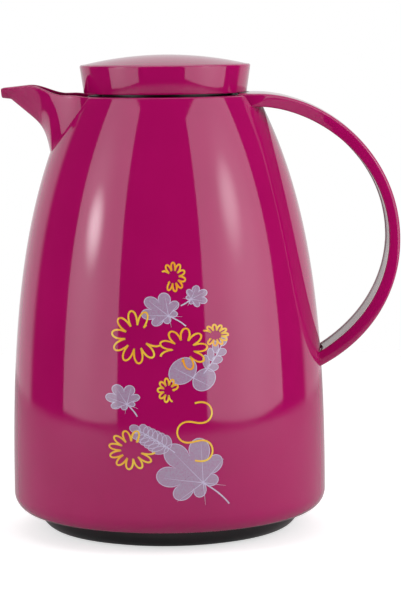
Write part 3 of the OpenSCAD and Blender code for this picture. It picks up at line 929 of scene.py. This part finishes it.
@dataclass
class Lid:
    """The lid of the stopper and its domed cover.

    Attributes:
        low_z: Height of the lid's lower edge.
        low_r: Radius at the lower edge.
        top_z: Height of the lid's upper edge.
        top_r: Radius at the upper edge.
        wall: Wall thickness.
        dome_r: Radius of the domed cover.
        dome_z: Height of the dome's apex.
        edge: Rounding of the upper edge.
    """

    low_z: float = 201.7
    low_r: float = 37.5
    top_z: float = 214.6
    top_r: float = 39.2
    wall: float = 2.2
    dome_r: float = 37.6
    dome_z: float = 219.0
    edge: float = 0.9

    def build(self) -> None:
        """Builds the lid and its cover and fits them."""
        web_low, web_high = self.low_z + 4.8, self.low_z + 7.3
        inner_r, ledge_z = self.low_r - self.wall, self.top_z - 2
        lip, skin = 0.4, 1.8
        lid = [(inner_r, self.low_z)]
        lid += arc(self.low_r - lip, self.low_z + lip, lip, -90, -8, 5)
        lid += arc(self.top_r - self.edge, self.top_z - self.edge, self.edge, -8, 90, 8)
        lid += arc(self.dome_r + 0.35, self.top_z - 0.25, 0.25, 90, 180, 4)
        lid += [(self.dome_r + 0.1, ledge_z), (self.dome_r - 2.6, ledge_z)]
        lid += [(inner_r - 0.2, web_high), (0.0, web_high), (0.0, web_low), (inner_r, web_low)]
        fit(Mesher.lathe("lid_moulding", lid), Body.STOPPER, Slot.SHELL, MAGENTA, "cap_shell")
        rise = self.dome_z - self.top_z
        sphere = (self.dome_r**2 + rise**2) / (2 * rise)
        centre = self.dome_z - sphere
        sweep = math.degrees(math.asin((self.dome_r - 0.3) / sphere))
        dome = arc(0.0, centre, sphere, 90, 90 - sweep, 40)
        dome[0] = (0.0, self.dome_z)
        dome += [(self.dome_r - 0.06, self.top_z - 0.14), (self.dome_r, self.top_z - 0.4)]
        dome += [(self.dome_r, ledge_z), (self.dome_r - 2.2, ledge_z)]
        dome += arc(0.0, centre, sphere - skin, 90 - sweep * 0.93, 90, 20)[:-1]
        dome += [(0.0, self.dome_z - skin)]
        fit(Mesher.lathe("lid_dome", dome), Body.STOPPER, Slot.SHELL, MAGENTA, "cap_dome")


# ---------------------------------------------------------------- neck and stopper


@dataclass
class Thread:
    """A helical ridge round the jug's axis.

    Attributes:
        root_r: Radius of the wall that it stands on.
        tip_r: Radius of its crest.
        low_z: Height at which it starts.
        start: Angle in degrees at which it starts.
        turns: Number of turns.
        lead: Rise in one full turn.
    """

    root_r: float
    tip_r: float
    low_z: float
    start: float
    turns: float = 1.25
    lead: float = 8.0

    def add(self, bm: bmesh.types.BMesh) -> None:
        """Adds the ridge to a bmesh, with its ends run out softly."""
        step, run_out = 3.0, 40.0
        total = self.turns * 360
        back = self.root_r - math.copysign(0.4, self.tip_r - self.root_r)
        rings = []
        for angle in span(0, total, round(total / step)):
            rise = smooth_step(min(1.0, (angle + 3) / run_out, (total - angle + 3) / run_out))
            radius = self.root_r + (self.tip_r - self.root_r) * rise
            a = math.radians(self.start + angle)
            z = self.low_z + self.lead * angle / 360
            section = ((back, z - 1.3), (radius, z - 0.8), (radius, z + 0.8), (back, z + 1.3))
            rings.append([Vector((r * math.cos(a), r * math.sin(a), h)) for r, h in section])
        Mesher.sweep(bm, rings)


@dataclass
class Neck:
    """The collar in the jug's neck and the plug that screws into it.

    Attributes:
        seat_z: Height of the sealing seat.
        collar_r: Bore of the collar.
        plug_r: Radius of the plug.
        window_z: Heights between which the collar's pouring window lies.
        window_half: Half width of the pouring window.
        thread_z: Height at which both threads start.
    """

    seat_z: float = 174.0
    collar_r: float = 30.9
    plug_r: float = 29.0
    window_z: Point = (187.5, 196.0)
    window_half: float = 21.3
    thread_z: float = 177.4

    def build(self) -> None:
        """Builds the collar and the plug and fits them."""
        out_r, flange_r, top_z = self.collar_r + 2.1, 35.7, 200.4
        collar = Mesher.lathe(
            "neck_collar_moulding",
            [
                (22.0, self.seat_z - 3), (out_r, self.seat_z - 3), (out_r, 199.0), (flange_r, 199.0),
                (flange_r, top_z - 0.3), (flange_r - 0.3, top_z), (self.collar_r + 0.4, top_z),
                (self.collar_r, top_z - 0.4), (self.collar_r, self.seat_z), (22.4, self.seat_z),
                (22.0, self.seat_z - 0.4),
            ],
        )
        bm = bmesh.new()
        low = (-flange_r - 1, -self.window_half, self.window_z[0])
        Mesher.block(bm, low, (-1.0, self.window_half, self.window_z[1]))
        Mesher.carve(collar, Mesher.add("window", bm))
        bm = bmesh.new()
        Thread(self.collar_r, self.collar_r - 1.3, self.thread_z, 0).add(bm)
        Mesher.carve(collar, Mesher.add("thread", bm), "UNION")
        Mesher.tidy(collar)
        fit(collar, Body.JUG, Slot.STOPPER, BLACK_SATIN, "neck_collar")
        self.build_plug()

    def build_plug(self) -> None:
        """Builds the plug with its thread, flow flutes and seal groove and fits it."""
        low_z, web_z, groove_z, hollow_r = 177.1, 206.5, 198.5, self.plug_r - 3.5
        plug = Mesher.lathe(
            "stopper_plug",
            [
                (hollow_r, low_z), (self.plug_r - 0.4, low_z), (self.plug_r, low_z + 0.4),
                (self.plug_r, groove_z - 0.9), (self.plug_r - 0.7, groove_z - 0.9),
                (self.plug_r - 0.7, groove_z + 0.9), (self.plug_r, groove_z + 0.9),
                (self.plug_r, 201.1), (32.7, 201.1), (32.7, web_z), (0.0, web_z),
                (0.0, web_z - 3.3), (hollow_r, web_z - 3.3),
            ],
        )
        bm = bmesh.new()
        Thread(self.plug_r, self.plug_r + 1.3, self.thread_z, -180).add(bm)
        Mesher.carve(plug, Mesher.add("thread", bm), "UNION")
        bm = bmesh.new()
        for turn in (60, 180, 300):
            Mesher.block(bm, (self.plug_r - 1.6, -8, low_z - 1), (self.plug_r + 9, 8, 192.5), turn)
        Mesher.carve(plug, Mesher.add("flutes", bm))
        Mesher.tidy(plug)
        fit(plug, Body.STOPPER, Slot.STOPPER, BLACK_SATIN, "stopper_body")


# ---------------------------------------------------------------- printed pattern


class Motif(Enum):
    """Kinds of printed motif."""

    FRILLED_LEAF = "frilled_leaf"
    ROUND_PAIR = "round_pair"
    FEATHER = "feather"
    BLOOM = "bloom"
    TENDRIL = "tendril"


@dataclass(frozen=True)
class Spot:
    """One printed motif and its place on the body.

    Attributes:
        motif: Kind of motif.
        turn: Angle from the body's front in degrees, to the right.
        z: Height of its centre.
        wide: Width.
        tall: Height.
        spin: Turn of the motif in its own plane, in degrees.
        lobes: Number of lobes, loops or leaflets.
    """

    motif: Motif
    turn: float
    z: float
    wide: float
    tall: float
    spin: float = 0.0
    lobes: int = 7


@dataclass
class Pattern:
    """The leaf and flower pattern printed on the front of the shell.

    Attributes:
        shell: The shell that carries the print.
        line_w: Width of the golden lines.
        vein_w: Width of the leaf outlines and veins.
        bury: Depth of the ink's underside in the shell.
        spots: The motifs, from top to bottom.
    """

    shell: Shell
    line_w: float = 0.78
    vein_w: float = 0.34
    bury: float = 0.03
    spots: tuple[Spot, ...] = (
        Spot(Motif.BLOOM, 3.0, 123.2, 10.5, 12.5, 195, 9),
        Spot(Motif.FRILLED_LEAF, 10.6, 114.1, 12.9, 11.3, -62, 7),
        Spot(Motif.FRILLED_LEAF, -0.7, 107.9, 21.5, 18.2, 48, 7),
        Spot(Motif.BLOOM, -10.8, 97.2, 22.5, 23.1, 20, 9),
        Spot(Motif.BLOOM, 18.1, 97.4, 12.0, 9.2, 190, 10),
        Spot(Motif.BLOOM, 6.2, 91.7, 21.2, 18.3, 235, 8),
        Spot(Motif.FEATHER, 17.5, 88.3, 16.8, 19.1, -38, 3),
        Spot(Motif.ROUND_PAIR, 9.6, 80.2, 22.3, 20.1, -38),
        Spot(Motif.BLOOM, 0.5, 73.9, 9.2, 10.5, 330, 8),
        Spot(Motif.FRILLED_LEAF, -15.1, 69.3, 19.3, 15.0, 28, 7),
        Spot(Motif.TENDRIL, 9.7, 55.3, 15.6, 26.1, 0, 3),
        Spot(Motif.FEATHER, -5.0, 52.1, 23.5, 19.9, 55, 6),
        Spot(Motif.BLOOM, -12.6, 47.5, 20.9, 17.3, 30, 10),
        Spot(Motif.FRILLED_LEAF, 9.9, 36.0, 37.5, 35.6, 42, 7),
    )

    def lay(self, spot: Spot, p: Point, lift: float) -> Vector:
        """Returns the place on the body of a point of a motif.

        Args:
            spot: The motif's place and size.
            p: Point in the motif's own square from -1 to 1.
            lift: Height above the surface.

        Returns:
            The point in millimetres.
        """
        spin = math.radians(spot.spin)
        x = p[0] * math.cos(spin) - p[1] * math.sin(spin)
        y = p[0] * math.sin(spin) + p[1] * math.cos(spin)
        z = spot.z + y * spot.tall / 2
        turn = math.radians(spot.turn - 90) + x * spot.wide / 2 / self.shell.out(spot.z)
        face = self.shell.facing(turn, z)
        radius = self.shell.out(z)
        return Vector((radius * math.cos(turn), radius * math.sin(turn), z)) + face * lift

    def fill(
        self, bm: bmesh.types.BMesh, spot: Spot, edge: Sequence[Point], lift: float = 0.05
    ) -> None:
        """Adds a printed area that is star-shaped about its middle.

        Args:
            bm: The mesh that grows.
            spot: The motif's place and size.
            edge: Its outline in the motif's own square.
            lift: Height of the ink above the surface.
        """
        middle = (sum(p[0] for p in edge) / len(edge), sum(p[1] for p in edge) / len(edge))
        layers = []
        for height in (-self.bury, lift):
            loops = [[bm.verts.new(self.lay(spot, middle, height))] * len(edge)]
            for k in span(0, 1, 9)[1:]:
                at = [tuple(m + (c - m) * k for m, c in zip(middle, p)) for p in edge]
                loops.append([bm.verts.new(self.lay(spot, p, height)) for p in at])
            for a, b in zip(loops, loops[1:]):
                for i in range(len(edge)):
                    k = (i + 1) % len(edge)
                    bm.faces.new(list(dict.fromkeys((a[i], b[i], b[k], a[k]))))
            layers.append(loops[-1])
        for i in range(len(edge)):
            k = (i + 1) % len(edge)
            bm.faces.new((layers[0][i], layers[0][k], layers[1][k], layers[1][i]))

    def stroke(
        self, bm: bmesh.types.BMesh, spot: Spot, path: Sequence[Point], width: float, lift: float,
        taper: bool = False,
    ) -> None:
        """Adds a printed line along a path.

        Args:
            bm: The mesh that grows.
            spot: The motif's place and size.
            path: Points in the motif's own square.
            width: Width of the line.
            lift: Height of the ink above the surface.
            taper: Whether the line runs out to a point at its end.
        """
        scale = Vector((spot.wide / 2, spot.tall / 2))
        flat = [Vector((p[0] * scale.x, p[1] * scale.y)) for p in path]
        rings = []
        for i, p in enumerate(flat):
            way = (flat[min(i + 1, len(flat) - 1)] - flat[max(i - 1, 0)]).normalized()
            thin = 1.0 - 0.8 * i / (len(flat) - 1) if taper else 1.0
            side = Vector((-way.y, way.x)) * width / 2 * thin
            ends = [((p + s * side).x / scale.x, (p + s * side).y / scale.y) for s in (-1, 0, 1)]
            under = [self.lay(spot, e, -self.bury) for e in ends]
            rings.append(under + [self.lay(spot, e, lift) for e in reversed(ends)])
        Mesher.sweep(bm, rings)

    @staticmethod
    def lobed(lobes: int, depth: float, sharp: float, steps: int = 168) -> list[Point]:
        """Returns a closed outline with rounded lobes and a notch at the bottom."""
        points = []
        for i in range(steps):
            a = 2 * math.pi * i / steps
            wave = abs(math.sin(lobes * a / 2)) ** sharp
            size = 0.5 + 0.5 * math.sin(a * 0.5) ** 1.6
            radius = size * (1 - depth + depth * wave)
            points.append((radius * math.sin(a + math.pi), radius * math.cos(a + math.pi)))
        return points

    @staticmethod
    def meander(bends: int, steps: int = 180) -> list[Point]:
        """Returns a line that winds down its square in round bends."""
        x = y = 0.0
        points = []
        for t in span(0, 1, steps):
            way = math.radians(-90) + 1.75 * math.cos(math.pi * bends * t)
            x += math.cos(way)
            y += math.sin(way)
            points.append((x, y))
        low = [min(p[i] for p in points) for i in (0, 1)]
        high = [max(p[i] for p in points) for i in (0, 1)]
        return [tuple(2 * (p[i] - low[i]) / (high[i] - low[i]) - 1 for i in (0, 1)) for p in points]

    def draw(
        self, spot: Spot, fills: bmesh.types.BMesh, veins: bmesh.types.BMesh, lines: bmesh.types.BMesh
    ) -> None:
        """Adds one motif to the three layers of the print.

        Args:
            spot: The motif.
            fills: Layer of the leaf areas.
            veins: Layer of the leaf outlines and veins.
            lines: Layer of the golden lines.
        """
        if spot.motif is Motif.FRILLED_LEAF:
            edge = self.lobed(spot.lobes, 0.48, 0.55)
            self.fill(fills, spot, edge)
            self.stroke(veins, spot, edge + edge[:1], self.vein_w, 0.08)
            for i in range(spot.lobes):
                a = 2 * math.pi * (i + 0.5) / spot.lobes + math.pi
                tip = (0.78 * math.sin(a), 0.78 * math.cos(a))
                path = [(tip[0] * t, tip[1] * t - 0.25 * (1 - t)) for t in span(0, 1, 12)]
                self.stroke(veins, spot, path, self.vein_w, 0.09, taper=True)
            stalk = [(0.1 * math.sin(t * 2), -0.25 - 0.85 * t) for t in span(0, 1, 12)]
            self.stroke(veins, spot, stalk, self.vein_w * 1.8, 0.1)
        elif spot.motif is Motif.ROUND_PAIR:
            for side, size in ((-1, 0.62), (1, 0.52)):
                turns = [2 * math.pi * i / 90 for i in range(90)]
                mid_x, mid_y = side * 0.46, side * 0.1
                edge = [(mid_x + size * 0.8 * math.cos(a), mid_y + size * math.sin(a)) for a in turns]
                self.fill(fills, spot, edge, 0.05 + 0.01 * side)
                self.stroke(veins, spot, edge + edge[:1], self.vein_w, 0.08)
                path = [(side * 0.8 * t, 0.1 * side * t - 0.1) for t in span(0, 1, 12)]
                self.stroke(veins, spot, path, self.vein_w, 0.09, taper=True)
        elif spot.motif is Motif.FEATHER:
            for i in range(spot.lobes * 2 + 1):
                pair, side = divmod(i, 2)
                at = -0.7 + 1.3 * pair / spot.lobes
                lean = math.radians(0 if i == spot.lobes * 2 else (46 if side else -46))
                long = 0.62 - 0.03 * pair
                edge = []
                cos, sin = math.cos(lean), math.sin(lean)
                for a in (2 * math.pi * k / 48 for k in range(48)):
                    x, y = 0.17 * math.sin(a), long * (1 - math.cos(a)) * 0.5
                    edge.append((x * cos + y * sin, at + y * cos - x * sin))
                self.fill(fills, spot, edge, 0.045 + 0.002 * i)
                self.stroke(veins, spot, edge + edge[:1], self.vein_w * 0.8, 0.085)
            stem = [(0.06 * math.sin(3 * t), -1.0 + 1.75 * t) for t in span(0, 1, 20)]
            self.stroke(veins, spot, stem, self.vein_w * 1.3, 0.1)
        elif spot.motif is Motif.BLOOM:
            path = []
            for t in span(0, 1, 260):
                wave = 2 * math.pi * (spot.lobes - 0.35) * t + 0.65 * math.pi
                radius = 0.73 + 0.27 * math.cos(wave)
                a = math.radians(25 + 300 * t) + 0.42 * math.sin(wave) / spot.lobes * 1.6
                path.append((radius * math.cos(a), radius * math.sin(a)))
            self.stroke(lines, spot, path, self.line_w, 0.13)
        else:
            self.stroke(lines, spot, self.meander(spot.lobes), self.line_w, 0.13)

    def build(self) -> None:
        """Builds the three layers of the print and fits them to the jug."""
        layers = {"print_leaves": LEAF_INK, "print_veins": VEIN_INK, "print_lines": GOLD_INK}
        meshes = {name: bmesh.new() for name in layers}
        for spot in self.spots:
            self.draw(spot, *meshes.values())
        for name, finish in layers.items():
            obj = Mesher.add(name, meshes[name], crisp=180.0)
            self.face_out(obj)
            fit(obj, Body.JUG, Slot.SHELL, finish)

    def face_out(self, obj: bpy.types.Object) -> None:
        """Gives the ink the normals of the body under it, so that both shine alike."""
        mesh = obj.data
        places = [mesh.vertices[loop.vertex_index].co / MM for loop in mesh.loops]
        mesh.normals_split_custom_set([self.shell.facing(math.atan2(p.y, p.x), p.z) for p in places])


# ---------------------------------------------------------------- inner pieces


@dataclass
class InnerPieces:
    """Pieces that keep the frame's own meshes and only need their finish.

    Attributes:
        finishes: Finish of each node of the frame.
    """

    finishes: dict[str, Finish] = field(
        default_factory=lambda: {
            "handle_screws": ZINC_STEEL,
            "liner_cushion": BLACK_RUBBER,
            "tip_guard": BLACK_RUBBER,
            "liner_outer": SILVERED_GLASS,
            "liner_inner": SILVERED_GLASS,
            "liner_spacers": PALE_SATIN,
            "neck_gasket": CLEAR_SILICONE,
            "seal_disc": PALE_SATIN,
            "seal_gasket": CLEAR_SILICONE,
            "disc_pin": ZINC_STEEL,
            "stopper_foam": WHITE_FOAM,
            "stopper_floor": BLACK_SATIN,
            "stopper_ring": CLEAR_SILICONE,
            "cap_screws": ZINC_STEEL,
        }
    )

    def build(self) -> None:
        """Dresses each piece."""
        for node, finish in self.finishes.items():
            dress(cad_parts[node], finish)
            LOG.info("%s: %s", node, finish.name)


# ---------------------------------------------------------------- studio


@dataclass
class Studio:
    """The camera, the pale floor and the soft lights.

    Attributes:
        eye: Place of the camera in metres.
        aim: Point that the camera looks at.
        lens: Focal length in millimetres.
        roll: Roll of the camera in degrees.
        floor_r: Radius of the floor in metres.
        floor_grey: Grey of the floor.
        floor_glow: Glow of the floor towards other things and towards the camera.
        backdrop: Stops of the backdrop's glow round the jug, from 0 to 1.
    """

    eye: Vector = field(default_factory=lambda: Vector((0.0152, -1.150, 0.238)))
    aim: Vector = field(default_factory=lambda: Vector((0.0152, 0.0, 0.1051)))
    lens: float = 149.29
    roll: float = -0.6
    floor_r: float = 0.62
    floor_grey: float = 0.64
    floor_glow: Point = (0.02, 0.62)
    backdrop: tuple[Point, ...] = (
        (0.0, 0.04), (0.334, 0.04), (0.350, 0.8), (0.650, 0.8), (0.666, 0.04), (1.0, 0.04)
    )

    def build(self) -> None:
        """Builds the whole studio."""
        self.camera()
        self.floor()
        left = self.softbox("left_softbox", -57.1, 0.6, 0.48, 0.86, 2.5)
        self.brighten(left, ((0.42, 0.36), (0.24, 0.15), 4.4), ((0.36, 0.35), (0.5, 0.5), 0.5))
        right = self.softbox("right_softbox", 58.2, 0.6, 0.72, 0.86, 4.0)
        self.brighten(right, ((0.48, 0.44), (0.2, 0.22), 2.0), ((0.55, 0.35), (0.45, 0.6), 0.5))
        self.overhead()
        self.world()
        bpy.context.scene.view_settings.view_transform = "Standard"

    def camera(self) -> None:
        """Sets the camera."""
        data = bpy.data.cameras.new("camera")
        data.lens = self.lens
        data.sensor_width = 36.0
        camera = bpy.data.objects.new("camera", data)
        bpy.context.scene.collection.objects.link(camera)
        turn = (self.aim - self.eye).to_track_quat("-Z", "Y").to_matrix().to_4x4()
        spin = Matrix.Rotation(math.radians(self.roll), 4, "Z")
        camera.matrix_world = Matrix.Translation(self.eye) @ turn @ spin
        bpy.context.scene.camera = camera

    @staticmethod
    def light(
        name: str, place: Vector, aim: Vector, wide: float, tall: float, power: float
    ) -> bpy.types.Object:
        """Adds a soft rectangular light that the camera doesn't see.

        Args:
            name: Name of the light.
            place: Its centre in metres.
            aim: Point that it shines at.
            wide: Its width.
            tall: Its height.
            power: Its power in watts.

        Returns:
            The light.
        """
        data = bpy.data.lights.new(name, "AREA")
        data.shape = "RECTANGLE"
        data.size, data.size_y = wide, tall
        data.energy = power
        light = bpy.data.objects.new(name, data)
        bpy.context.scene.collection.objects.link(light)
        light.location = place
        light.rotation_euler = (aim - place).to_track_quat("-Z", "Y").to_euler()
        light.visible_camera = False
        return light

    @staticmethod
    def brighten(light: bpy.types.Object, *spots: tuple[Point, Point, float]) -> None:
        """Gives a light some brighter soft spots.

        Args:
            light: The light.
            spots: For each spot its middle across and up the light, its radius
                across and up the light, both from 0 to 1, and its strength.
        """
        light.data.use_nodes = True
        tree = light.data.node_tree
        place = wire(tree, "ShaderNodeNewGeometry", {}).outputs["Parametric"]
        total: Socket | float = 1.0
        for middle, size, strength in spots:
            shift = wire(tree, "ShaderNodeVectorMath", {0: place, 1: (*middle, 0.0)}, operation="SUBTRACT")
            shrink = {0: shift.outputs[0], 1: (1 / size[0], 1 / size[1], 0.0)}
            scale = wire(tree, "ShaderNodeVectorMath", shrink, operation="MULTIPLY")
            length = wire(tree, "ShaderNodeVectorMath", {0: scale.outputs[0]}, operation="LENGTH")
            fade = {"Value": length.outputs["Value"], "From Min": 1.0, "From Max": 0.0, "To Max": strength}
            ramp = wire(tree, "ShaderNodeMapRange", fade, interpolation_type="SMOOTHERSTEP")
            total = wire(tree, "ShaderNodeMath", {0: total, 1: ramp.outputs["Result"]}).outputs[0]
        tree.links.new(total, tree.nodes["Emission"].inputs["Strength"])

    def softbox(
        self, name: str, turn: float, away: float, wide: float, tall: float, power: float
    ) -> bpy.types.Object:
        """Stands a softbox on the floor line, turned away from the camera by turn degrees."""
        a = math.radians(turn)
        foot = Vector((away * math.sin(a), -away * math.cos(a), tall / 2 + 0.005))
        return self.light(name, foot, Vector((0, 0, foot.z)), wide, tall, power)

    def overhead(self) -> None:
        """Hangs a broad soft light over the jug."""
        self.light("top_softbox", Vector((0.0, 0.1, 1.4)), Vector((0, 0, 0)), 1.4, 1.4, 5.4)

    def floor(self) -> None:
        """Lays the pale floor, which fades out at its edge."""
        bm = bmesh.new()
        bmesh.ops.create_circle(bm, cap_ends=True, segments=96, radius=self.floor_r / MM)
        floor = Mesher.add("floor", bm)
        desk = NodeDesk("pale_floor")
        desk.set(Base_Color=(*[self.floor_grey] * 3, 1.0), Roughness=0.9, Emission_Color=(1.0, 1.0, 1.0, 1.0))
        seen = wire(desk.tree, "ShaderNodeLightPath", {}).outputs["Is Camera Ray"]
        desk.join(desk.spread(seen, *self.floor_glow, 0.0, 1.0), "Emission Strength")
        length = wire(desk.tree, "ShaderNodeVectorMath", {0: desk.place}, operation="LENGTH")
        fade = desk.spread(length.outputs["Value"], 1.0, 0.0, self.floor_r * 0.86, self.floor_r)
        desk.join(fade, "Alpha")
        floor.data.materials.append(desk.material)

    def world(self) -> None:
        """Sets a white backdrop whose glow comes from behind the jug."""
        world = bpy.data.worlds.new("studio")
        bpy.context.scene.world = world
        world.use_nodes = True
        tree = world.node_tree
        tree.nodes.clear()
        place = wire(tree, "ShaderNodeTexCoord", {}).outputs["Generated"]
        axes = wire(tree, "ShaderNodeSeparateXYZ", {0: place}).outputs
        turn = wire(tree, "ShaderNodeMath", {0: axes["X"], 1: axes["Y"]}, operation="ARCTAN2")
        whole = {"Value": turn.outputs[0], "From Min": -math.pi, "From Max": math.pi}
        share = wire(tree, "ShaderNodeMapRange", whole)
        ramp = wire(tree, "ShaderNodeValToRGB", {"Fac": share.outputs["Result"]})
        while len(ramp.color_ramp.elements) < len(self.backdrop):
            ramp.color_ramp.elements.new(0.5)
        for element, (at, value) in zip(ramp.color_ramp.elements, self.backdrop):
            element.position = at
            element.color = (value, value, value, 1.0)
        glow = wire(tree, "ShaderNodeBackground", {"Color": ramp.outputs["Color"]})
        white = wire(tree, "ShaderNodeBackground", {"Color": (1.0, 1.0, 1.0, 1.0)})
        seen = wire(tree, "ShaderNodeLightPath", {}).outputs["Is Camera Ray"]
        mix = wire(tree, "ShaderNodeMixShader", {0: seen, 1: glow.outputs[0], 2: white.outputs[0]})
        wire(tree, "ShaderNodeOutputWorld", {"Surface": mix.outputs[0]})


# ---------------------------------------------------------------- main


def main() -> None:
    """Builds the jug and its studio."""
    logging.basicConfig(level=logging.INFO, format="%(name)s: %(message)s")
    shell = Shell()
    shell.build()
    Handle(shell).build()
    Base().build()
    Lid().build()
    Neck().build()
    Pattern(shell).build()
    InnerPieces().build()
    Studio().build()


if __name__ == "__main__":
    main()
